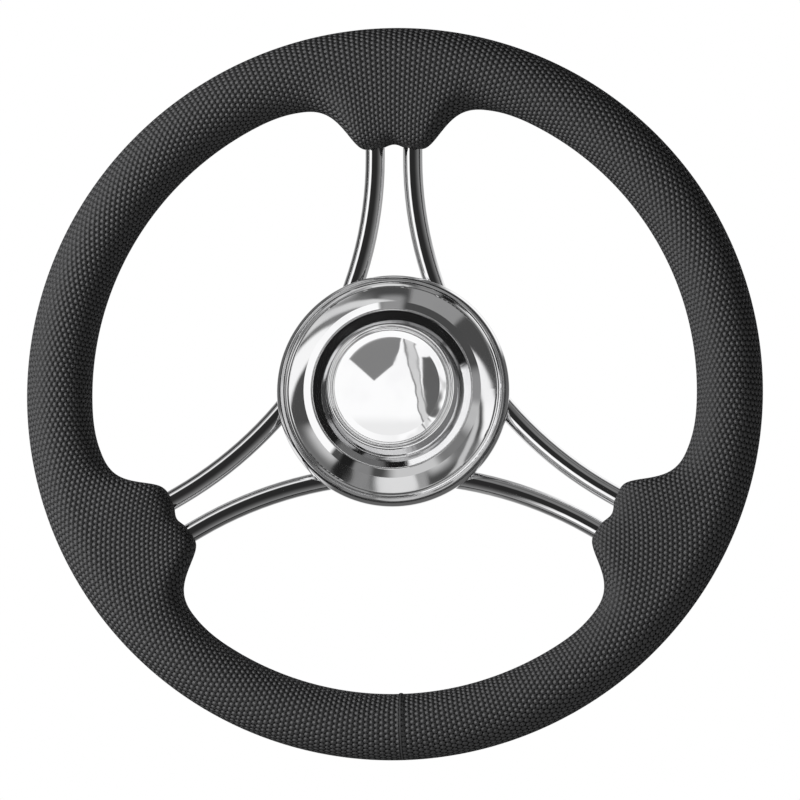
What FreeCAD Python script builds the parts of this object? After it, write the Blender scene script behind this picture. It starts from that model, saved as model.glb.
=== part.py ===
import FreeCAD, Part
import math
import os

# Boat steering wheel: a soft moulded grip on a round steel ring, three bowed
# spoke rods, and a polished hub that covers the shaft nut under a pull-off cap.
# Millimetres. The wheel stands upright: Y is the turning axis, the driver sits
# on the -Y side, and the top lobe points to +Z. The origin is the wheel's
# centre, on the turning axis in the middle plane of the grip.

V = FreeCAD.Vector

# Grip
wheel_diameter = 350.0
grip_width = 31.2            # across the grip, seen from the front
grip_depth = 29.0            # front to back
lobe_count = 3
lobe_tip_radius = 117.4      # how near the lobes come to the axis
lobe_tip_angle = 5.0         # half the angle that a lobe's level end takes up
lobe_half_angle = 11.2       # where a flank is halfway back to the plain grip
lobe_run_out_angle = 27.0    # where a flank has run into the plain grip
flank_fade_angle = 9.0       # last part of the flank, which eases into the plain grip
flank_sharpness = 3.5        # the higher, the steeper the flank at its middle
tip_squareness = 3.6         # 2 is an ellipse, more gives a fuller lobe end
notch_depth = 1.9            # dip in the lobe's end between its two rods
notch_width = 14.0
notch_fade = 6               # the higher, the nearer to the end the dip stays
lobe_sections = 18           # outlines on each side of a lobe's middle
section_points = 16          # round each outline
seam_angle = 271.5           # where the mould's seam crosses the grip
seam_width = 2.2
seam_height = 0.45

# Steel frame inside and between
rod_diameter = 9.4
rod_pitch = 18.0             # between the two rods that enter one lobe
bow_radius = 186.0           # of each rod's bend, on its centre line
core_diameter = 12.0
frame_y = 5.0                # the rods and the core ring lie a little behind

# Hub plate and boss
plate_diameter = 96.0
plate_thickness = 4.0
plate_edge = 1.2             # rounding of the plate's rear edge
boss_diameter = 44.0
boss_spigot_diameter = 39.0  # the part of the boss that passes the plate
boss_front_reach = 7.0       # from the plate's front face to the nut's seat
boss_rear_reach = 13.0       # from the plate's rear face to the boss's end
boss_chamfer = 1.5
shaft_diameter = 19.05       # large end of the tapered shaft
shaft_taper = 1.0 / 12.0     # change of diameter along the axis
key_width = 4.76
key_depth = 2.4

# Hub cover, a spun sheet
hub_diameter = 110.6
cover_sheet = 1.2
lip_y = -1.5                 # plane of the cover's largest diameter
lip_rise = 5.0               # from there forward to the lip's edge
lip_round = 6.5
lip_width = 1.1              # flat top of the lip
cone_radius = 48.9           # outer end of the shallow cone inside the lip
cone_drop = 1.05             # from the lip's edge down to that end
crest_radius = 38.0
crest_rise = 2.7             # above the lip's edge
crest_slope_width = 4.1      # the steep band outside the crest
crest_slope_rise = 2.5
well_radius = 32.2           # foot of the ring-shaped well inside the crest
well_depth = 6.5
crest_round = 0.8
lip_edge_round = 0.35

# Socket and pull-off cap
socket_bore = 55.0
socket_wall = 2.8
cover_hole_gap = 0.3         # the cover's hole is that much wider than the socket
plug_clearance = 0.08        # radial, plug to socket
plug_length = 8.0
plug_wall = 4.2
plug_chamfer = 0.6
foot_gap = 0.4               # between the cap's foot and the well's side
seat_gap = 0.3               # under the cap's foot
foot_height = 1.5
cap_height = 15.6            # from the foot to the front of the bead
cap_taper = 1.6              # how much the cap's wall narrows to the bead
bead_round = 0.9             # radius of the outer bead
inner_bead_width = 1.1
inner_bead_rise = 0.4
ring_section = 2.2           # sealing ring that grips the socket
ring_set_back = 5.0          # from the cap's foot to the ring's middle
ring_squeeze_gap = 0.05
groove_width = 2.6
recess_depth = 2.1           # from the bead down to the dome's ledge
dome_groove = 0.75           # open groove around the dome
dome_sheet = 1.2
dome_rim_height = 1.6
dome_bevel_width = 3.3
dome_bevel_rise = 1.0
dome_rise = 4.6
dome_edge_round = 0.3

# Worked out from the sizes above
wheel_radius = wheel_diameter / 2
half_width = grip_width / 2
half_depth = grip_depth / 2
ring_radius = wheel_radius - half_width
rod_radius = rod_diameter / 2
core_radius = core_diameter / 2
hub_radius = hub_diameter / 2
plate_radius = plate_diameter / 2
lobe_step = 360.0 / lobe_count
cover_back = frame_y - rod_radius
plate_front = frame_y + rod_radius
plate_back = plate_front + plate_thickness
boss_front = plate_front - boss_front_reach
boss_back = plate_back + boss_rear_reach
lip_front = lip_y - lip_rise
cone_front = lip_front + cone_drop
crest_front = lip_front - crest_rise
well_front = crest_front + well_depth
socket_radius = socket_bore / 2
socket_outer = socket_radius + socket_wall
plug_radius = socket_radius - plug_clearance
foot_radius = well_radius - foot_gap
foot_y = well_front - seat_gap
bead_radius = foot_radius - cap_taper
bead_front = foot_y - cap_height
bead_valley = bead_round / 2
valley_radius = bead_radius - bead_round * (1 + math.sqrt(0.75))
recess_radius = valley_radius - inner_bead_width
ledge_y = bead_front + recess_depth
dome_radius = recess_radius - dome_groove
ring_y = foot_y + ring_set_back
seal_radius = socket_radius - ring_squeeze_gap - ring_section / 2
same_place = 1e-4


def save(name, shape):
    shape.exportStep("parts/" + name + ".step")


def turned(edges):
    """Solid of revolution about the wheel's axis from edges in radius and Y."""
    face = Part.Face(Part.Wire(Part.sortEdges(edges)[0]))
    return face.revolve(V(0, 0, 0), V(0, 1, 0), 360)


def at(radius, y):
    return V(radius, y, 0)


def line(a, b):
    return Part.LineSegment(a, b).toShape()


def polyline(points):
    return [line(a, b) for a, b in zip(points, points[1:])]


def arc_from(start, heading, end):
    """Arc that leaves its start in the direction of the heading."""
    chord = end - start
    aside = (heading - chord * (heading.dot(chord) / chord.dot(chord))).normalize()
    bulge = chord.Length / 2 * math.tan(heading.getAngle(chord) / 2)
    return Part.Arc(start, start + chord / 2 + aside * bulge, end).toShape()


def rounded(shape, radius, rings):
    """A turned shape with its round edges at these (radius, Y) places rounded off."""
    edges = []
    for edge in shape.Edges:
        ends = [edge.valueAt(edge.FirstParameter), edge.valueAt(edge.LastParameter)]
        for ring, y in rings:
            if all(abs(math.hypot(p.x, p.z) - ring) + abs(p.y - y) < same_place for p in ends):
                edges.append(edge)
    return shape.makeFillet(radius, edges)


def around(shape, degrees):
    turned_shape = shape.copy()
    turned_shape.rotate(V(0, 0, 0), V(0, 1, 0), -degrees)
    return turned_shape


def grip_inner_radius(angle):
    """Inner edge of the grip, at an angle in degrees from a lobe's middle."""
    plain = wheel_radius - grip_width
    past_tip = max(0.0, abs(angle) - lobe_tip_angle) / (lobe_half_angle - lobe_tip_angle)
    fade = max(0.0, 1 - (lobe_run_out_angle - abs(angle)) / flank_fade_angle)
    ease = 1 - fade ** 2 * (3 - 2 * fade)
    return plain - (plain - lobe_tip_radius) * ease / (1 + past_tip ** flank_sharpness)


def notch_dip(angle):
    """How far the notch between two rods sets the lobe's end back, at that angle."""
    spread = math.degrees(notch_width / 2 / lobe_tip_radius)
    return notch_depth * math.cos(min(abs(angle) / spread, 1) * math.pi / 2) ** 2


def grip_outline(angle, extra=0):
    """Closed outline of the grip at that angle from a lobe's middle, drawn across +X."""
    reach = ring_radius - grip_inner_radius(angle) + extra
    stretch = (reach - half_width) / (ring_radius - half_width - lobe_tip_radius)
    power = 2 + (tip_squareness - 2) * max(0.0, stretch)
    points = []
    for i in range(section_points):
        turn = 2 * math.pi * i / section_points
        out, front = math.cos(turn), math.sin(turn)
        if out >= 0:
            radial, axial = (half_width + extra) * out, (half_depth + extra) * front
        else:
            radial = reach * out + notch_dip(angle) * out ** notch_fade
            fullness = max(0.0, 1 - abs(out) ** power) ** (1 / power)
            axial = (half_depth + extra) * math.copysign(fullness, front)
        points.append(V(ring_radius + radial, axial, 0))
    curve = Part.BSplineCurve()
    curve.interpolate(Points=points, PeriodicFlag=True, Parameters=[float(i) for i in range(section_points + 1)])
    return Part.Wire(curve.toShape())


def build_grip(frame):
    """The moulding: three lobed stretches, plain stretches between, one seam ridge."""
    end = lobe_run_out_angle
    angles = [end * i / lobe_sections for i in range(-lobe_sections, lobe_sections + 1)]
    lobe = Part.makeLoft([around(grip_outline(a), a) for a in angles], True, False)
    axis = V(0, 0, 0), V(0, 1, 0)
    plain = Part.Face(grip_outline(end)).revolve(*axis, 2 * end - lobe_step)
    stretches = [around(lobe, a) for a in lobe_angles()]
    stretches += [around(plain, a + end) for a in lobe_angles()]
    ridge_angle = math.degrees(seam_width / ring_radius)
    ridge = Part.Face(grip_outline(end, seam_height)).revolve(*axis, -ridge_angle)
    ring = stretches[0].fuse(stretches[1:] + [around(ridge, seam_angle - ridge_angle / 2)])
    for piece in frame:
        ring = ring.cut(piece)
    return ring.Solids[0]


def build_core():
    return Part.makeTorus(ring_radius, core_radius, V(0, frame_y, 0), V(0, 1, 0))


def bow_path():
    """Centre line of one rod from lobe to lobe, its bend nearest the axis on +X."""
    side = math.radians(lobe_step / 2)
    offset = rod_pitch / 2
    tangent_reach = (offset + bow_radius) / math.tan(side)
    apex = tangent_reach / math.cos(side) - bow_radius

    def beside_lobe(reach):
        x = reach * math.cos(side) + offset * math.sin(side)
        z = reach * math.sin(side) - offset * math.cos(side)
        return V(x, frame_y, z), V(x, frame_y, -z)

    top_end, low_end = beside_lobe(ring_radius)
    top_bend, low_bend = beside_lobe(tangent_reach)
    bend = Part.Arc(top_bend, V(apex, frame_y, 0), low_bend).toShape()
    return Part.Wire([line(top_end, top_bend), bend, line(low_bend, low_end)])


def rod_along(path, radius):
    start = path.Edges[0]
    ahead = start.tangentAt(start.FirstParameter)
    profile = Part.Wire(Part.makeCircle(radius, start.valueAt(start.FirstParameter), ahead))
    return path.makePipeShell([profile], True, False)


def build_bows(core):
    """The rods, cut to the core ring's round where they butt against it."""
    bow = rod_along(bow_path(), rod_radius).cut(core).Solids[0]
    return [around(bow, a + lobe_step / 2) for a in lobe_angles()]


def build_plate():
    edge, inner = plate_edge, boss_spigot_diameter / 2
    bow_in = edge * (1 - math.sqrt(0.5))
    corner = Part.Arc(at(plate_radius, plate_back - edge), at(plate_radius - bow_in, plate_back - bow_in),
                      at(plate_radius - edge, plate_back)).toShape()
    front = polyline([at(inner, plate_front), at(plate_radius, plate_front), at(plate_radius, plate_back - edge)])
    back = polyline([at(plate_radius - edge, plate_back), at(inner, plate_back), at(inner, plate_front)])
    return turned(front + [corner] + back)


def bore_radius(y):
    """Radius of the tapered bore, widest at the boss's rear end."""
    return (shaft_diameter - shaft_taper * (boss_back - y)) / 2


def build_boss():
    spigot, body, chamfer = boss_spigot_diameter / 2, boss_diameter / 2, boss_chamfer
    corners = [at(bore_radius(boss_front), boss_front), at(spigot - chamfer, boss_front),
               at(spigot, boss_front + chamfer), at(spigot, plate_back), at(body, plate_back),
               at(body, boss_back - chamfer), at(body - chamfer, boss_back),
               at(bore_radius(boss_back), boss_back)]
    boss = turned(polyline(corners + corners[:1]))
    keyway = Part.makeBox(key_width, boss_back - boss_front, shaft_diameter / 2 + key_depth,
                          V(-key_width / 2, boss_front, 0))
    return boss.cut(keyway)


def arc_reach(rise):
    """How far the lip's round has come in from the hub's side, that far forward."""
    return lip_round - math.sqrt(lip_round ** 2 - rise ** 2)


def build_cover():
    """Spun cover that rests on the rods: side wall, rolled lip, cone, crest and the well round the cap."""
    lip_edge = hub_radius - arc_reach(lip_rise)
    cove_start = lip_edge - lip_width
    middle = lip_rise / 2
    lip = Part.Arc(at(hub_radius, lip_y), at(hub_radius - arc_reach(middle), lip_y - middle),
                   at(lip_edge, lip_front)).toShape()
    slope_foot = at(crest_radius + crest_slope_width, crest_front + crest_slope_rise)
    cone_edge = at(cone_radius, cone_front)
    cove = arc_from(cone_edge, cone_edge - slope_foot, at(cove_start, lip_front))
    edges = [line(at(hub_radius, cover_back), at(hub_radius, lip_y)), lip,
             line(at(lip_edge, lip_front), at(cove_start, lip_front)), cove]
    edges += polyline([cone_edge, slope_foot, at(crest_radius, crest_front), at(well_radius, well_front),
                       at(socket_radius + cover_hole_gap, well_front)])
    sheet = Part.Wire(edges).makeOffset2D(cover_sheet, 2, True, True, False)
    cover = rounded(turned(sheet.Edges), crest_round, [(crest_radius, crest_front)])
    return rounded(cover, lip_edge_round, [(lip_edge, lip_front), (cove_start, lip_front)])


def build_socket():
    """Turned ring between the cover and the plate that the cap's plug fits."""
    front = well_front + cover_sheet
    corners = [at(socket_radius, front), at(socket_outer, front),
               at(socket_outer, plate_front), at(socket_radius, plate_front)]
    return turned(polyline(corners + corners[:1]))


def build_collar():
    """Turned body of the cap: plug with its groove, tapered wall, stepped bead, dome's ledge."""
    inner = plug_radius - plug_wall
    plug_end = foot_y + plug_length
    groove_front, groove_back = ring_y - groove_width / 2, ring_y + groove_width / 2
    groove_floor = seal_radius - ring_section / 2 - ring_squeeze_gap
    bead_base = bead_front + bead_round
    low = polyline([at(inner, plug_end), at(plug_radius - plug_chamfer, plug_end),
                    at(plug_radius, plug_end - plug_chamfer), at(plug_radius, groove_back),
                    at(groove_floor, groove_back), at(groove_floor, groove_front),
                    at(plug_radius, groove_front), at(plug_radius, foot_y), at(foot_radius, foot_y),
                    at(foot_radius, foot_y - foot_height), at(bead_radius, bead_base)])
    outer_bead = Part.Arc(at(bead_radius, bead_base), at(bead_radius - bead_round, bead_front),
                          at(valley_radius, bead_front + bead_valley)).toShape()
    inner_bead = Part.Arc(at(valley_radius, bead_front + bead_valley),
                          at(valley_radius - inner_bead_width / 2, bead_front + bead_valley - inner_bead_rise),
                          at(recess_radius, bead_front + bead_valley)).toShape()
    high = polyline([at(recess_radius, bead_front + bead_valley), at(recess_radius, ledge_y),
                     at(inner, ledge_y), at(inner, plug_end)])
    return turned(low + [outer_bead, inner_bead] + high)


def build_seal():
    return Part.makeTorus(seal_radius, ring_section / 2, V(0, ring_y, 0), V(0, 1, 0))


def build_dome():
    """Pressed disc with a turned-down rim that stands on the collar's ledge."""
    bevel_y = ledge_y - dome_rim_height
    edge_y = bevel_y - dome_bevel_rise
    edge_radius = dome_radius - dome_bevel_width
    top_y = edge_y - dome_rise
    sphere = (edge_radius ** 2 + dome_rise ** 2) / (2 * dome_rise)
    half_angle = math.asin(edge_radius / sphere) / 2
    outer = Part.Arc(at(edge_radius, edge_y),
                     at(sphere * math.sin(half_angle), top_y + sphere * (1 - math.cos(half_angle))),
                     at(0, top_y)).toShape()
    skin = [line(at(dome_radius, ledge_y), at(dome_radius, bevel_y)),
            line(at(dome_radius, bevel_y), at(edge_radius, edge_y)), outer]
    sheet = Part.Wire(skin).makeOffset2D(dome_sheet, 2, True, True, False)
    return rounded(turned(sheet.Edges), dome_edge_round, [(dome_radius, bevel_y), (edge_radius, edge_y)])


def lobe_angles():
    """Directions of the lobes seen from the front, the first one up."""
    return [90 + i * lobe_step for i in range(lobe_count)]


def main():
    os.makedirs("parts", exist_ok=True)
    core = build_core()
    bows = build_bows(core)
    save("rim_core", core)
    for i, bow in enumerate(bows):
        save("spoke_rod_" + str(i + 1), bow)
    save("rim_grip", build_grip([core] + bows))
    save("hub_plate", build_plate())
    save("hub_boss", build_boss())
    save("hub_cover", build_cover())
    save("cap_socket", build_socket())
    save("cap_collar", build_collar())
    save("cap_seal", build_seal())
    save("cap_dome", build_dome())


main()
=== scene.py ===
import bpy
import math
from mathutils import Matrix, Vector


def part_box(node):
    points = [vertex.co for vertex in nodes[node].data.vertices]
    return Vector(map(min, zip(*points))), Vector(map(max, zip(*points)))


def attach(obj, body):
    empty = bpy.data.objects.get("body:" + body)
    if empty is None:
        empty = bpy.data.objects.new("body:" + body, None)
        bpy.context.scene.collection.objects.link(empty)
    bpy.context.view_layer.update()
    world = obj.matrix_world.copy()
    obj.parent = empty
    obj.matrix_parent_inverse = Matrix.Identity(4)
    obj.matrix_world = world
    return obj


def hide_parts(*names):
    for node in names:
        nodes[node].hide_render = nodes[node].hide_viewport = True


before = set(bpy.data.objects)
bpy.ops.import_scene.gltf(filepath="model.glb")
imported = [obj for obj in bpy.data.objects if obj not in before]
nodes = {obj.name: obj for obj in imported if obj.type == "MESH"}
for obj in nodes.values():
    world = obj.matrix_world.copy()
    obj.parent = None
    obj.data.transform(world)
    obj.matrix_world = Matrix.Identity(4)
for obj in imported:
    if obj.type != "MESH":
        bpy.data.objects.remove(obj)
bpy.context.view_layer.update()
print("frame loaded:", len(nodes), "nodes")

# The wheel stands upright: +Y is the turning axis away from the driver, +Z is up, metres.
mm = 0.001


# A shader number. Sums on it are written as plain expressions, and each adds its own node.
class Value:
    def __init__(self, tree, socket):
        self.tree = tree
        self.socket = socket

    def __add__(self, other):
        return self.tree.maths("ADD", self, other)

    def __radd__(self, other):
        return self.tree.maths("ADD", other, self)

    def __sub__(self, other):
        return self.tree.maths("SUBTRACT", self, other)

    def __rsub__(self, other):
        return self.tree.maths("SUBTRACT", other, self)

    def __mul__(self, other):
        return self.tree.maths("MULTIPLY", self, other)

    def __rmul__(self, other):
        return self.tree.maths("MULTIPLY", other, self)

    def __truediv__(self, other):
        return self.tree.maths("DIVIDE", self, other)

    def __pow__(self, other):
        return self.tree.maths("POWER", self, other)

    def __abs__(self):
        return self.tree.maths("ABSOLUTE", self)

    def clamp(self):
        return self.tree.add("ShaderNodeClamp", {}, {0: self})

    # 0 below low, 1 above high, smooth between
    def ramp(self, low, high):
        settings = {"interpolation_type": "SMOOTHSTEP"}
        return self.tree.add("ShaderNodeMapRange", settings, {"Value": self, "From Min": low, "From Max": high})

    # 1 between low and high, with soft sides
    def band(self, low, high, soft):
        return self.ramp(low - soft, low + soft) * (1 - self.ramp(high - soft, high + soft))


class NodeTree:
    def __init__(self, owner):
        owner.use_nodes = True
        self.tree = owner.node_tree
        self.tree.nodes.clear()

    # the one way any node is made: its settings first, then its sockets; output names what it returns
    def add(self, kind, settings=None, sockets=None, output=0):
        node = self.tree.nodes.new(kind)
        for name, setting in (settings or {}).items():
            setattr(node, name, setting)
        for key, value in (sockets or {}).items():
            if isinstance(value, Value):
                self.tree.links.new(value.socket, node.inputs[key])
            else:
                node.inputs[key].default_value = value
        if isinstance(output, list):
            return [Value(self, node.outputs[name]) for name in output]
        return Value(self, node.outputs[output]) if len(node.outputs) else None

    def maths(self, operation, *values):
        return self.add("ShaderNodeMath", {"operation": operation}, dict(enumerate(values)))

    def place(self):
        return self.add("ShaderNodeTexCoord", output="Object")

    def parts(self, vector):
        return self.add("ShaderNodeSeparateXYZ", {}, {0: vector}, output=["X", "Y", "Z"])

    def join(self, x, y, z):
        return self.add("ShaderNodeCombineXYZ", {}, {0: x, 1: y, 2: z})

    # a Mix node has sockets of the same name for each kind of data, so these go by number
    def mixColor(self, factor, first, second):
        return self.add("ShaderNodeMix", {"data_type": "RGBA"}, {0: factor, 6: first, 7: second}, output=2)

    def mixVector(self, factor, first, second):
        return self.add("ShaderNodeMix", {"data_type": "VECTOR"}, {0: factor, 4: first, 5: second}, output=1)

    def noise(self, place, scale, detail=2.0):
        return self.add("ShaderNodeTexNoise", {}, {"Vector": place, "Scale": scale, "Detail": detail})

    def bump(self, height, distance, normal=None):
        sockets = {"Height": height, "Distance": distance}
        if normal:
            sockets["Normal"] = normal
        return self.add("ShaderNodeBump", {}, sockets)

    def principled(self, sockets):
        surface = self.add("ShaderNodeBsdfPrincipled", {}, sockets)
        self.add("ShaderNodeOutputMaterial", {}, {"Surface": surface})


def newMaterial(name):
    material = bpy.data.materials.new(name)
    return material, NodeTree(material)


# faces between rows of points, where each row goes round; closed joins the last row to the first
def rowFaces(rows, around, closed):
    faces = []
    for i in range(rows if closed else rows - 1):
        j = (i + 1) % rows
        for k in range(around):
            m = (k + 1) % around
            faces.append((i * around + k, i * around + m, j * around + m, j * around + k))
    return faces


# Grip moulding: the same lobed ring as the frame's, with an even, fine skin. Its pebbles stand in a
# six-sided lattice that goes round with the ring. Angles are in degrees.
gripMoulding = {
    "wheelDiameter": 350 * mm,
    "gripWidth": 31.2 * mm,
    "gripDepth": 29.0 * mm,
    "lobeCount": 3,
    "topLobeAngle": 90,
    "lobeTipRadius": 117.4 * mm,  # how near the lobes come to the axis
    "lobeTipAngle": 5.0,          # half of a lobe's level end
    "lobeHalfAngle": 11.2,        # where a flank is halfway back to the plain grip
    "lobeRunOutAngle": 27.0,      # where it has run into the plain grip
    "flankFadeAngle": 9.0,        # the flank's last part, which eases into the plain grip
    "flankSharpness": 3.5,
    "tipSquareness": 3.6,         # 2 is an ellipse, more is fuller
    "notchDepth": 1.9 * mm,       # between a lobe's two rods
    "notchWidth": 14.0 * mm,
    "notchFade": 6,               # the higher, the nearer the notch stays to the lobe's end
    "seamAngle": 271.5,
    "seamWidth": 2.2 * mm,
    "seamHeight": 0.45 * mm,
    "seamSquareness": 4,
    "sectionPoints": 104,
    "sectionsPerLobe": 300,
    "pebblesAround": 414,         # columns in the whole ring, an even number
    "pebbleStep": 2.64 * mm,      # two rows of pebbles, measured over the skin
    "pebbleHeight": 1.0 * mm,     # of the round tops above the pits' sharp feet
    "pebbleWobble": 1.1,          # how far pebbles stray from the lattice, in radians of its waves
    "wobbleScale": 240.0,
    "pitRim": -0.2,               # where in the lattice's wave a pit ends
    "seamFlat": 1.0 * mm,         # no pebbles this near to the seam
    "grainScale": 2600.0,
    "grainHeight": 0.08,          # share of the pebble's height
    # the darkest colour: painted shade in the pits, and also the seam's dark line
    "pitShadeAndSeamColor": (0.004, 0.004, 0.0042, 1),
    "pebbleColor": (0.082, 0.082, 0.084, 1),
    "topShade": 0.7,              # 0 is the colour of the painted shade in the pits and 1 the pebble's
    "grainShade": 0.3,            # added by the grain
    "paintedPitShade": 0.95,             # painted shade, taken away in the pits
    "flatShade": 0.2,             # taken away on the bare strip beside the seam
    "seamShade": 0.5,             # taken away along the seam
    "roughness": 0.55,
    "grainRoughness": 0.12,
    "specular": 0.3,
}


def gripMaterial():
    look = gripMoulding
    material, tree = newMaterial("gripPolyurethane")
    place = tree.place()
    x, y, z = tree.parts(place)
    overSkin = tree.add("ShaderNodeAttribute", {"attribute_name": "overSkin"}, output="Fac")
    wobble = tree.noise(place, look["wobbleScale"]) * look["pebbleWobble"]
    angle = tree.maths("ARCTAN2", z, x)
    column = angle * (look["pebblesAround"] / 2) + wobble
    row = overSkin * (2 * math.pi / look["pebbleStep"]) + wobble
    wave = tree.maths("COSINE", column * 2) + 2 * tree.maths("COSINE", column) * tree.maths("COSINE", row)
    waveLow, waveHigh = -1.5, 3.0  # the least and the most that these waves add up to
    pebble = (wave - waveLow) / (waveHigh - waveLow)
    # the pits between the pebbles are painted darker: painted shade in the recesses
    pit = 1 - wave.ramp(waveLow, look["pitRim"])
    flat = look["seamFlat"]
    toSeam = abs(angle - math.radians(look["seamAngle"] - 360)) * (look["wheelDiameter"] / 2)
    offSeam = toSeam.ramp(0.5 * flat, flat)
    seamLine = toSeam.band(0.35 * flat, 0.75 * flat, 0.1 * flat)
    grain = tree.noise(place, look["grainScale"], 3.0)
    # tone from the grain, the painted shade in the pits, the bare strip and the seam's dark line
    shade = look["topShade"] + grain * look["grainShade"] - pit * offSeam * look["paintedPitShade"]
    shade = shade - (1 - offSeam) * look["flatShade"] - seamLine * look["seamShade"]
    relief = tree.bump(pebble * offSeam + grain * look["grainHeight"], look["pebbleHeight"])
    tree.principled({
        "Base Color": tree.mixColor(shade.clamp(), look["pitShadeAndSeamColor"], look["pebbleColor"]),
        "Roughness": (grain - 0.5) * look["grainRoughness"] + look["roughness"],
        "Specular IOR Level": look["specular"],
        "Normal": relief,
    })
    return material


# how far in from the middle of the grip its inner edge lies, at an angle from a lobe's middle
def lobeReach(off):
    form = gripMoulding
    plain = form["gripWidth"] / 2
    full = form["wheelDiameter"] / 2 - plain - form["lobeTipRadius"]
    pastTip = max(0.0, off - form["lobeTipAngle"]) / (form["lobeHalfAngle"] - form["lobeTipAngle"])
    fade = min(1.0, max(0.0, 1 - (form["lobeRunOutAngle"] - off) / form["flankFadeAngle"]))
    ease = 1 - fade ** 2 * (3 - 2 * fade)
    return plain + (full - plain) * ease / (1 + pastTip ** form["flankSharpness"])


# a point of the skin: angle goes round the wheel, turn goes round the grip from its outer edge
def gripPoint(angle, turn):
    form = gripMoulding
    halfWidth, halfDepth = form["gripWidth"] / 2, form["gripDepth"] / 2
    ringRadius = form["wheelDiameter"] / 2 - halfWidth
    step = 360 / form["lobeCount"]
    off = abs((angle - form["topLobeAngle"] + step / 2) % step - step / 2)
    seamOff = abs(math.radians((angle - form["seamAngle"] + 180) % 360 - 180)) * ringRadius
    seam = form["seamHeight"] * max(0.0, 1 - (2 * seamOff / form["seamWidth"]) ** form["seamSquareness"])
    out, front = math.cos(turn), math.sin(turn)
    if out >= 0:
        seam *= 1 - out
        radial, axial = (halfWidth + seam) * out, (halfDepth + seam) * front
    else:
        reach = lobeReach(off)
        full = ringRadius - form["lobeTipRadius"]
        power = 2 + (form["tipSquareness"] - 2) * max(0.0, (reach - halfWidth) / (full - halfWidth))
        out = -abs(out) ** (2 / power)
        front = math.copysign(abs(front) ** (2 / power), front)
        notchHalfAngle = math.degrees(form["notchWidth"] / 2 / form["lobeTipRadius"])
        dip = form["notchDepth"] * math.cos(min(off / notchHalfAngle, 1) * math.pi / 2) ** 2
        radial = (reach + seam) * out + dip * abs(out) ** form["notchFade"]
        axial = (halfDepth + seam) * front
    radius = ringRadius + radial
    direction = math.radians(angle)
    return Vector((radius * math.cos(direction), axial, radius * math.sin(direction)))


# how far over the skin each point lies from the grip's outer edge, the same in front and behind
def skinLengths(points, around):
    lengths = []
    for first in range(0, len(points), around):
        ring = points[first:first + around]
        reach = [0.0]
        for k in range(1, around // 2 + 1):
            reach.append(reach[-1] + (ring[k] - ring[k - 1]).length)
        lengths += [reach[min(k, around - k)] for k in range(around)]
    return lengths


def buildGrip(material):
    form = gripMoulding
    count = form["sectionsPerLobe"] * form["lobeCount"]
    seam = form["seamAngle"]
    span = math.degrees(form["seamWidth"] / (form["wheelDiameter"] / 2))
    angles = [360 * i / count for i in range(count)]
    angles = [a for a in angles if abs(a - seam) > 0.7 * span]
    angles += [seam + span * k / 8 for k in range(-5, 6)]  # closer sections over the seam
    angles.sort()
    around = form["sectionPoints"]
    points = [gripPoint(a, 2 * math.pi * k / around) for a in angles for k in range(around)]
    faces = rowFaces(len(angles), around, True)
    mesh = bpy.data.meshes.new("gripMoulding")
    mesh.from_pydata([tuple(p) for p in points], [], faces)
    mesh.validate()
    overSkin = mesh.attributes.new("overSkin", "FLOAT", "POINT")
    overSkin.data.foreach_set("value", skinLengths(points, around))
    mesh.materials.append(material)
    mesh.shade_smooth()
    piece = bpy.data.objects.new("gripMoulding", mesh)
    bpy.context.scene.collection.objects.link(piece)
    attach(piece, "wheel")
    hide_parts("rim_grip")
    print("grip:", len(angles), "sections,", len(faces), "faces")
    return piece


# Mirror polish of the rods, the cover and the cap: faint hairlines and smudges
mirrorFinish = {
    "color": (0.86, 0.86, 0.865, 1),
    "roughness": 0.035,
    "smudgeColor": (0.80, 0.80, 0.81, 1),
    "smudgeScale": 34.0,
    "smudgeEdges": (0.45, 0.75),
    "smudgeRoughness": 0.035,
    "hairlineScale": 700.0,
    "hairlineStretch": (5, 5, 0.6),
    "hairlineRoughness": 0.02,
    "hairlineDepth": 0.0012 * mm,
}


# form gives the piece's own slight relief in metres; within flatCentre of the axis the faces' own
# direction is taken, because the mesh's smoothing comes to a point there
def mirrorSteelMaterial(name, form=None, flatCentre=0):
    look = mirrorFinish
    material, tree = newMaterial(name)
    place = tree.place()
    x, y, z = tree.parts(place)
    smudge = tree.noise(place, look["smudgeScale"], 3.0).ramp(*look["smudgeEdges"])
    alongX, alongY, alongZ = look["hairlineStretch"]
    hairline = tree.noise(tree.join(x * alongX, y * alongY, z * alongZ), look["hairlineScale"])
    height = hairline * look["hairlineDepth"]
    if form:
        height = height + form(tree, place)
    normal = None
    if flatCentre:
        offCentre = ((x * x + z * z) ** 0.5).ramp(0.8 * flatCentre, flatCentre)
        flat, smooth = tree.add("ShaderNodeNewGeometry", output=["True Normal", "Normal"])
        normal = tree.mixVector(offCentre, flat, smooth)
    roughness = smudge * look["smudgeRoughness"] + hairline * look["hairlineRoughness"] + look["roughness"]
    tree.principled({
        "Base Color": tree.mixColor(smudge, look["color"], look["smudgeColor"]),
        "Metallic": 1.0,
        "Roughness": roughness,
        "Normal": tree.bump(height, 1.0, normal),
    })
    return material


# The cover's spun forms that are too slight for the frame's mesh
coverSheet = {
    "wellFootRadius": 32.2 * mm,
    "crestRadius": 38.0 * mm,
    "wallLean": 1.75 * mm,        # how much flatter than straight the well's side is polished
    "leanSkew": 5.0,              # more so towards the lower right, by this share a metre
    "lipInnerRadius": 51.85 * mm,
    "lipOuterRadius": 52.95 * mm,
    "lipLean": 0.06 * mm,
    "coneInnerRadius": 42.1 * mm,
    "coneOuterRadius": 48.9 * mm,
    "coneHollow": 0.09 * mm,      # the shallow cone is polished a little hollow
    "rippleHeight": 0.06 * mm,
    "rippleBelow": 2.5,           # how many times more below the well
    "rippleScale": 60.0,
}


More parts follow.
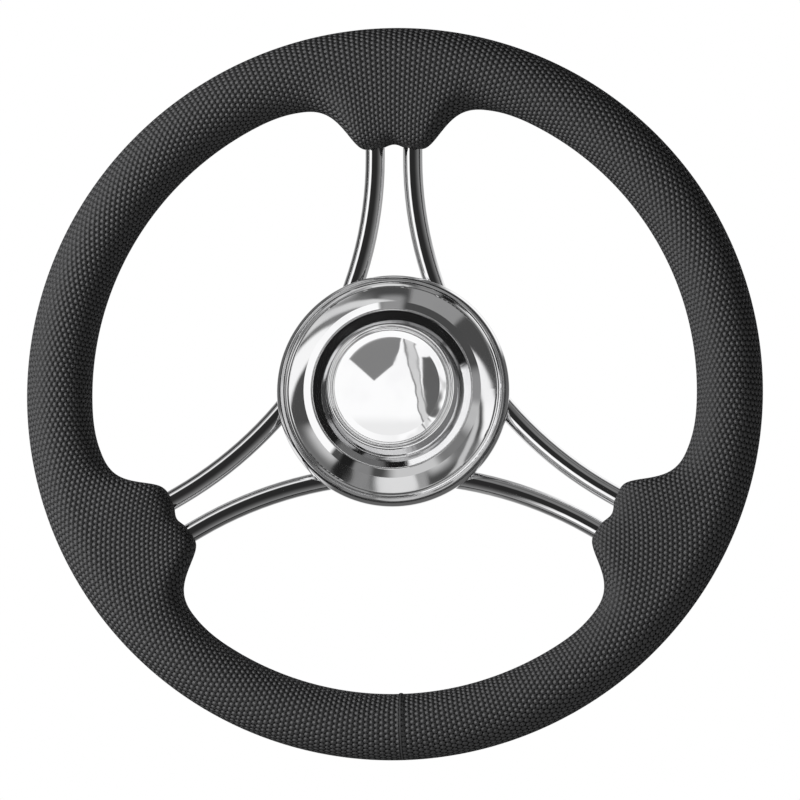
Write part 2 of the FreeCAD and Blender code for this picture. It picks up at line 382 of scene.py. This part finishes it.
def coverRelief(tree, place):
    form = coverSheet
    x, y, z = tree.parts(place)
    radius = (x * x + z * z) ** 0.5
    foot, crest = form["wellFootRadius"], form["crestRadius"]
    wall = ((crest - radius) / (crest - foot)).clamp() * form["wallLean"] * ((x - z) * form["leanSkew"] + 1)
    lipInner, lipOuter = form["lipInnerRadius"], form["lipOuterRadius"]
    lip = ((lipOuter - radius) / (lipOuter - lipInner)).clamp() * form["lipLean"]
    coneInner, coneOuter = form["coneInnerRadius"], form["coneOuterRadius"]
    overCone = ((radius - coneInner) / (coneOuter - coneInner)).clamp() * 2 - 1
    below = 1 - z.ramp(-crest, -0.5 * crest)
    ripple = tree.noise(place, form["rippleScale"], 1.0) * (below * form["rippleBelow"] + 1)
    return wall + lip + overCone * overCone * form["coneHollow"] + ripple * form["rippleHeight"]


# The dome's pressed forms that are too slight for the frame's mesh
domeDisc = {
    "bevelWidth": 3.3 * mm,
    "bevelLean": 0.42 * mm,
    "rippleSide": 2 * mm,         # the sheet ripples on the driver's right of this
    "rippleHeight": 0.22 * mm,
    "rippleScale": 95.0,
    "flatCentre": 2.3 * mm,
}


def domeRelief(tree, place):
    form = domeDisc
    x, y, z = tree.parts(place)
    radius = (x * x + z * z) ** 0.5
    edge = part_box("cap_dome")[1].x
    bevel = ((edge - radius) / form["bevelWidth"]).clamp() * form["bevelLean"]
    side = x.ramp(form["rippleSide"], 3 * form["rippleSide"])
    ripple = tree.noise(place, form["rippleScale"], 1.0) - 0.5
    return side * ripple * form["rippleHeight"] + bevel


# Turned steel of the hidden pieces: grooves that run round the axis, on faces and round sides
turnedFinish = {
    "color": (0.60, 0.60, 0.61, 1),
    "roughness": 0.19,
    "groovePitch": 0.35 * mm,
    "grooveDepth": 0.012 * mm,
    "grooveRoughness": 0.08,
    "stainColor": (0.48, 0.48, 0.49, 1),
    "stainScale": 60.0,
    "stainRoughness": 0.12,
}


def turnedSteelMaterial():
    look = turnedFinish
    material, tree = newMaterial("turnedSteel")
    place = tree.place()
    x, y, z = tree.parts(place)
    radius = (x * x + z * z) ** 0.5
    facing = abs(tree.parts(tree.add("ShaderNodeTexCoord", output="Normal"))[1]).ramp(0.4, 0.6)
    along = radius * facing + y * (1 - facing)
    groove = tree.maths("SINE", along * (2 * math.pi / look["groovePitch"])) * 0.5 + 0.5
    stain = tree.noise(place, look["stainScale"], 4.0)
    tree.principled({
        "Base Color": tree.mixColor(stain, look["color"], look["stainColor"]),
        "Metallic": 1.0,
        "Roughness": groove * look["grooveRoughness"] + stain * look["stainRoughness"] + look["roughness"],
        "Normal": tree.bump(groove, look["grooveDepth"]),
    })
    return material


sealFinish = {
    "color": (0.012, 0.012, 0.012, 1),
    "bloomColor": (0.035, 0.035, 0.036, 1),
    "bloomScale": 900.0,
    "bloomHeight": 0.03 * mm,
    "roughness": 0.55,
}


def sealMaterial():
    look = sealFinish
    material, tree = newMaterial("sealRubber")
    bloom = tree.noise(tree.place(), look["bloomScale"], 3.0)
    tree.principled({
        "Base Color": tree.mixColor(bloom, look["color"], look["bloomColor"]),
        "Roughness": look["roughness"],
        "Normal": tree.bump(bloom, look["bloomHeight"]),
    })
    return material


def dress(name, material):
    mesh = nodes[name].data
    mesh.materials.clear()
    mesh.materials.append(material)
    for face in mesh.polygons:
        face.material_index = 0


# Studio
studio = {
    "cameraAzimuth": 4.2,         # to the driver's right, degrees
    "cameraElevation": -7.2,      # a little below the wheel
    "cameraDistance": 2.4,
    "sensorWidth": 36,
    "viewReach": 50,
    "frameWidth": 800,            # pixels
    "pixelsPerMetre": 2107.5,     # at the wheel's middle
    "frameShift": (6.8, -8.9),    # pixels that the wheel's centre lies left of and above the middle
    "floorHeight": -0.75,
    "floorReach": 6.0,
    "floorColor": (0.80, 0.80, 0.80, 1),
    "floorFleck": (0.84, 0.84, 0.84, 1),
    "fleckScale": 40.0,
    "floorRoughness": 0.9,
}


# from the wheel's centre to the camera
def sightLine():
    azimuth, elevation = math.radians(studio["cameraAzimuth"]), math.radians(studio["cameraElevation"])
    level = math.cos(elevation)
    return Vector((math.sin(azimuth) * level, -math.cos(azimuth) * level, math.sin(elevation)))


def buildCamera():
    back = sightLine()
    data = bpy.data.cameras.new("camera")
    data.sensor_width = studio["sensorWidth"]
    data.lens = data.sensor_width * studio["pixelsPerMetre"] * studio["cameraDistance"] / studio["frameWidth"]
    data.shift_x = studio["frameShift"][0] / studio["frameWidth"]
    data.shift_y = studio["frameShift"][1] / studio["frameWidth"]
    data.clip_end = studio["viewReach"]
    camera = bpy.data.objects.new("camera", data)
    camera.location = back * studio["cameraDistance"]
    camera.rotation_mode = "QUATERNION"
    camera.rotation_quaternion = (-back).to_track_quat("-Z", "Y")
    bpy.context.scene.collection.objects.link(camera)
    bpy.context.scene.camera = camera


# a sheet that is clear from below, so that low views see the wheel too
def buildFloor():
    reach, height = studio["floorReach"], studio["floorHeight"]
    corners = [(x * reach, y * reach, height) for x, y in ((-1, -1), (1, -1), (1, 1), (-1, 1))]
    mesh = bpy.data.meshes.new("studioFloor")
    mesh.from_pydata(corners, [], [(0, 1, 2, 3)])
    floor = bpy.data.objects.new("studioFloor", mesh)
    bpy.context.scene.collection.objects.link(floor)
    material, tree = newMaterial("studioFloor")
    fleck = tree.noise(tree.place(), studio["fleckScale"])
    color = tree.mixColor(fleck, studio["floorColor"], studio["floorFleck"])
    sockets = {"Base Color": color, "Roughness": studio["floorRoughness"]}
    surface = tree.add("ShaderNodeBsdfPrincipled", {}, sockets)
    clear = tree.add("ShaderNodeBsdfTransparent")
    below = tree.add("ShaderNodeNewGeometry", output="Backfacing")
    both = tree.add("ShaderNodeMixShader", {}, {0: below, 1: surface, 2: clear})
    tree.add("ShaderNodeOutputMaterial", {}, {"Surface": both})
    mesh.materials.append(material)
    floor.visible_glossy = False
    return floor


surroundings = {
    "worldLevel": 0.015,
    "shellRadius": 4.0,
    "shellStep": 0.1,             # from one shell to the next
    "roomTurn": (20, 120),        # between these angles the room goes from its first level to its second
    "cardReach": 46,              # cards end this far from straight ahead
}

# What the steel pieces see round them, in degrees. Each panel: where it starts and ends round the clock,
# from +X over the top, then how far from straight ahead it starts and ends, its level and its soft edge.
# A last number slants it: degrees round the clock for each degree away. The room is its level straight
# ahead and behind. Straight ahead is what a flat, upright face of the wheel mirrors to the camera.
allSee = {
    "backdrop": (0, 360, 152, 180, 0.9, 7),
    "backBox": (20, 62, 112, 150, 1.1, 6),
    "backStrip": (196, 232, 104, 146, 0.9, 8),
}
rodsSee = {
    "room": (0.01, 0.36),
    "leftBox": (146, 252, 33, 62, 1.15, 4),
    "leftGlow": (146, 256, 66, 82, 0.32, 5),
    "upperBox": (96, 146, 40, 60, 1.0, 5),
    "upperGlow": (96, 146, 64, 76, 0.3, 5),
    "leftWall": (96, 256, 84, 124, 0.11, 6),
    "upperRightWall": (40, 84, 24, 52, 0.2, 5),
    "lowerWall": (262, 330, 88, 130, 0.09, 6),
}
coverSees = {
    "room": (0.0, 0.12),
    "wall": (0, 360, 9, 84, 0.06, 4),
    "lipWall": (0, 360, 4, 9, 0.17, 1),
    "leftBox": (98, 226, 44, 78, 1.1, 2),
    "topStrip": (83, 97, 24, 78, 0.3, 3),
    "lowerStrip": (269, 306, 42, 84, 0.62, 6),
    "lowerRightStrip": (306, 330, 42, 78, 0.2, 8),
    "lowerRightBox": (293, 322, 25, 44, 0.7, 6),
    "rightStrip": (332, 352, 42, 76, 0.55, 6),
    "rightEdge": (352, 372, 42, 76, 0.3, 5),
    "lowerLeftEdge": (243, 256, 42, 78, 0.24, 3),
    "frontRight": (-21, 6, 8, 34, 1.08, 5, 2.6),
    "topPanel": (46, 79, 8, 40, 0.3, 2),
    "upperLeftPanel": (103, 148, 20, 40, 0.2, 6),
    "upperLeftGlow": (112, 147, 8, 17, 0.7, 6),
    "upperLeftStreak": (118, 138, 8, 34, 0.75, 4, -3.5),
    "leftPanel": (150, 179, 8, 34, 1.05, 4, -2.2),
    "lowerLeftPanel": (207, 233, 8, 22, 0.18, 9),
    "lowerLeftBox": (205, 232, 23, 44, 0.6, 5),
    "lowerPanel": (262, 284, 8, 40, 0.8, 5),
    "lowerEdge": (284, 291, 8, 40, 0.35, 1.5),
    "lowerGlow": (243, 256, 8, 40, 0.26, 4),
    "lowerRightGlow": (314, 328, 8, 40, 0.17, 6),
    "lowerRightStreak": (316, 327, 8, 34, 0.6, 3, 3.0),
    "darkGap": (234, 242, 8, 78, 0.0, 1.5),
    "topWall": (78, 118, 84, 130, 0.5, 8),
}
domeSees = {
    "room": (0.0, 0.14),
    "frontBox": (0, 360, -3, 60, 1.12, 1),
}
collarSees = {
    "room": (0.0, 0.14),
    "beadWall": (0, 360, -3, 47, 0.24, 2),
    "beadBox": (128, 286, -3, 47, 1.0, 9),
    "flag": (0, 360, 49, 104, 0.0, 2),
    "rightBox": (-78, 20, 50, 96, 1.2, 3),
    "lowerBox": (222, 262, 50, 96, 0.16, 4),
}
turnedSees = {
    "room": (0.25, 0.45),
    "leftBox": (100, 250, 30, 80, 1.0, 12),
}
# Cards stand before the dome's front box. Each: its level, its soft edge, then its edges as the way that
# the card lies from the edge and how far the edge is from straight ahead.
domeCards = {
    "underBox": (0.95, 6, ((270, 30),)),
    "hatch": (0.23, 0.7, ((48, -6.5), (130, 12), (162, 2.7))),
    "wavyStrip": (0.72, 0.5, ((10, 21.5), (190, -28), (90, -34))),
    "stripEdge": (0.25, 0.4, ((10, 20.4), (190, -22), (90, -36))),
    "outerEdge": (0.35, 0.4, ((10, 27.5), (190, -28.8), (90, -34))),
    "sideWall": (0.12, 0.7, ((5, 30.5), (90, -27), (270, -26))),
}


# the light that comes from the panels in each direction
class PanelLight:
    def __init__(self, tree):
        self.tree = tree
        direction = tree.add("ShaderNodeVectorMath", {"operation": "NORMALIZE"}, {0: tree.place()})
        sight = sightLine()
        x, y, z = tree.parts(direction)
        x, z = x + sight.x, z + sight.z
        across = (x * x + z * z) ** 0.5
        self.x, self.z = x / across, z / across
        self.away = tree.maths("ARCTAN2", across, 0 - y) * (180 / math.pi)

    def panel(self, start, end, near, far, soft, slant=0):
        aroundClock = 1.0
        if end - start < 360:
            middle, half = math.radians((start + end) / 2), (end - start) / 2
            cosine, sine = math.cos(middle), math.sin(middle)
            if slant:
                slanted = (self.away - (near + far) / 2) * math.radians(slant) + middle
                cosine, sine = self.tree.maths("COSINE", slanted), self.tree.maths("SINE", slanted)
            toMiddle = self.x * cosine + self.z * sine
            edges = [math.cos(math.radians(min(180, max(0, half + s)))) for s in (soft, -soft)]
            aroundClock = toMiddle.ramp(*edges)
        return self.away.band(near, far, soft) * aroundClock

    def card(self, soft, edges):
        inside = 1 - self.away.ramp(surroundings["cardReach"] - 1, surroundings["cardReach"] + 1)
        for way, distance in edges:
            reach = self.x * math.cos(math.radians(way)) + self.z * math.sin(math.radians(way))
            inside = inside * (reach * self.away).ramp(distance - soft, distance + soft)
        return inside

    def level(self, panels, cards):
        ahead, behind = panels["room"]
        level = self.away.ramp(*surroundings["roomTurn"]) * (behind - ahead) + ahead
        for name, panel in {**allSee, **panels}.items():
            if name != "room":
                start, end, near, far, light, soft, *slant = panel
                level = level + self.panel(start, end, near, far, soft, *slant) * (light - level)
        for light, soft, edges in cards.values():
            level = level + self.card(soft, edges) * (light - level)
        return level


def collect(name, pieces):
    group = bpy.data.collections.new(name)
    for piece in pieces:
        group.objects.link(piece)
    return group


# a big sphere of light panels that only the named pieces reflect
def buildShell(name, number, receivers, panels, cards):
    radius = surroundings["shellRadius"] + surroundings["shellStep"] * number
    rings, spokes = 24, 48
    points = []
    for i in range(rings + 1):
        down = math.pi * i / rings
        for k in range(spokes):
            turn, across = 2 * math.pi * k / spokes, radius * math.sin(down)
            points.append((across * math.cos(turn), across * math.sin(turn), radius * math.cos(down)))
    mesh = bpy.data.meshes.new(name)
    mesh.from_pydata(points, [], rowFaces(rings + 1, spokes, False))
    shell = bpy.data.objects.new(name, mesh)
    bpy.context.scene.collection.objects.link(shell)
    material, tree = newMaterial(name)
    glow = tree.add("ShaderNodeEmission", {}, {"Color": PanelLight(tree).level(panels, cards)})
    clear = tree.add("ShaderNodeBsdfTransparent")
    both = tree.add("ShaderNodeAddShader", {}, {0: glow, 1: clear})
    tree.add("ShaderNodeOutputMaterial", {}, {"Surface": both})
    material.cycles.emission_sampling = "NONE"
    mesh.materials.append(material)
    shell.visible_camera = shell.visible_diffuse = shell.visible_shadow = shell.visible_transmission = False
    shell.light_linking.receiver_collection = collect(name, [nodes[receiver] for receiver in receivers])


# the camera sees plain white behind the wheel, and the pieces see almost none of it
def buildWorld():
    world = bpy.data.worlds.new("studio")
    bpy.context.scene.world = world
    tree = NodeTree(world)
    white = (1.0, 1.0, 1.0, 1)
    light = tree.add("ShaderNodeBackground", {}, {"Color": white, "Strength": surroundings["worldLevel"]})
    plain = tree.add("ShaderNodeBackground", {}, {"Color": white, "Strength": 1.0})
    isCamera = tree.add("ShaderNodeLightPath", output="Is Camera Ray")
    both = tree.add("ShaderNodeMixShader", {}, {0: isCamera, 1: light, 2: plain})
    tree.add("ShaderNodeOutputWorld", {}, {"Surface": both})


# Each lamp: where it hangs, its size, the level at which it lights the wheel's middle, and if it glints.
# They light the dull pieces only, and the sun lights the floor only.
lamps = {
    "keyLamp": ((-2.2, -1.15, 0.65), 1.2, 1.5, True),
    "fillLamp": ((1.7, -1.9, 0.5), 1.4, 0.08, True),
    "backLamp": ((1.4, 2.2, 1.4), 1.4, 0.8, False),
}
floorSun = {"from": (-0.3, -0.4, 1.0), "level": 0.95, "softness": 24}


def hangLamp(name, kind, place, energy, receivers):
    data = bpy.data.lights.new(name, kind)
    data.energy = energy
    lamp = bpy.data.objects.new(name, data)
    lamp.location = place
    lamp.rotation_mode = "QUATERNION"
    lamp.rotation_quaternion = (-Vector(place)).to_track_quat("-Z", "Y")
    bpy.context.scene.collection.objects.link(lamp)
    lamp.light_linking.receiver_collection = receivers
    return lamp


def buildLamps(pieces, floor):
    for name, (place, size, level, glints) in lamps.items():
        energy = level * math.pi ** 2 * Vector(place).length_squared
        lamp = hangLamp(name, "AREA", place, energy, pieces)
        lamp.data.size = size
        lamp.visible_glossy = glints
    sun = hangLamp("floorSun", "SUN", floorSun["from"], floorSun["level"] * math.pi, floor)
    sun.data.angle = math.radians(floorSun["softness"])


bpy.context.scene.view_settings.view_transform = "Standard"
grip = buildGrip(gripMaterial())
rods = ["spoke_rod_1", "spoke_rod_2", "spoke_rod_3"]
turned = ["rim_core", "hub_plate", "hub_boss", "cap_socket"]
polishedSteel = mirrorSteelMaterial("polishedSteel")
for name in rods + ["cap_collar"]:
    dress(name, polishedSteel)
dress("hub_cover", mirrorSteelMaterial("polishedCover", coverRelief))
dress("cap_dome", mirrorSteelMaterial("polishedDome", domeRelief, domeDisc["flatCentre"]))
turnedSteel = turnedSteelMaterial()
for name in turned:
    dress(name, turnedSteel)
dress("cap_seal", sealMaterial())
print("materials done")

shells = {
    "rodSurroundings": (rods, rodsSee, {}),
    "coverSurroundings": (["hub_cover"], coverSees, {}),
    "domeSurroundings": (["cap_dome"], domeSees, domeCards),
    "collarSurroundings": (["cap_collar"], collarSees, {}),
    "turnedSurroundings": (turned, turnedSees, {}),
}
for number, (name, shell) in enumerate(shells.items()):
    buildShell(name, number, *shell)
print("surroundings done:", len(shells), "shells")

floor = buildFloor()
buildWorld()
dull = [grip] + [nodes[name] for name in turned + ["cap_seal"]]
buildLamps(collect("lampLit", dull), collect("floorLit", [floor]))
buildCamera()
print("studio done")
